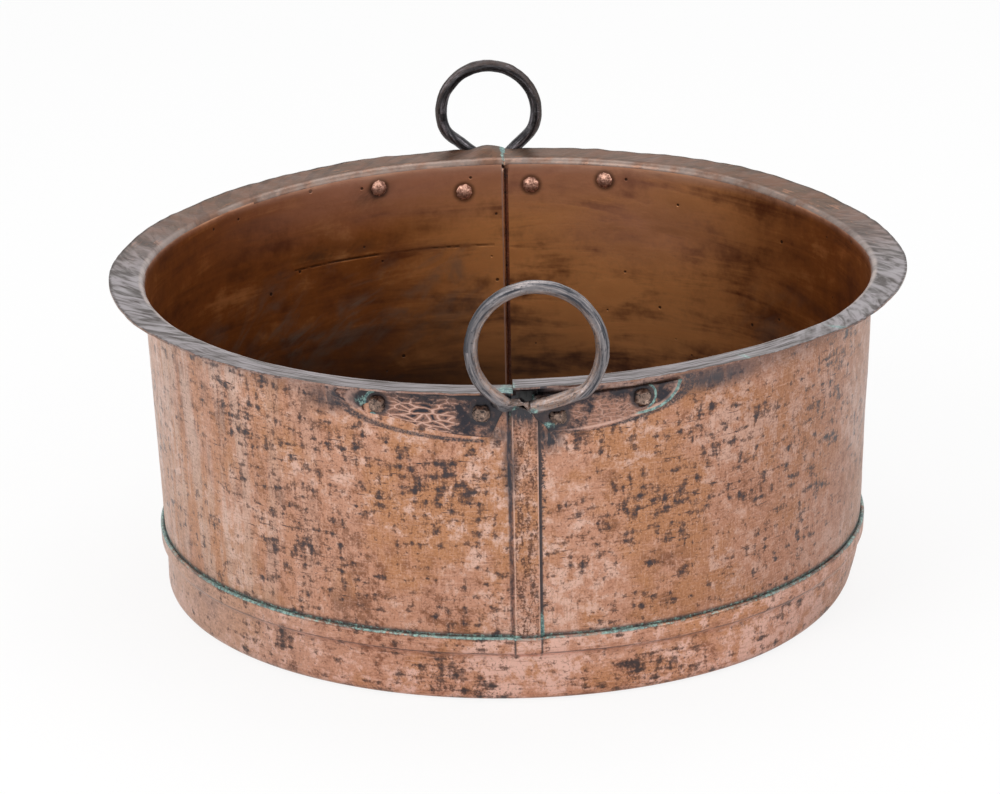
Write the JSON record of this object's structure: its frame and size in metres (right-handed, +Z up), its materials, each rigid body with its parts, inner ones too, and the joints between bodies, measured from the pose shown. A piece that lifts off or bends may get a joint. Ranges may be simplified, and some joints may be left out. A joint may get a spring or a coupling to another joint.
{
  "type": "cooking pot",
  "caption": "Large round copper cooking pot with an out-turned rim, hooked seams and two upright forged ring handles riveted on.",
  "frame": {"origin": "middle of the flat base, on the surface the pot stands on", "axes": "+Z up, -Y towards the larger (front) ring handle, +Y towards the smaller (back) ring handle"},
  "size_m": [0.6502, 0.6747, 0.3595],
  "materials": {
    "sheet_copper": "satin, hammered, tarnished",
    "base_copper": "satin, hammered, scuffed",
    "forged_handle": "dark, hammered",
    "rivet_copper": "dark, hammered"
  },
  "bodies": {
    "root": {"wall_sheet_right": "sheet_copper", "wall_sheet_left": "sheet_copper", "base_pan": "base_copper", "handle_front": "forged_handle", "handle_back": "forged_handle", "rivets_front": "rivet_copper", "rivets_back": "rivet_copper"}
  },
  "joints": []
}
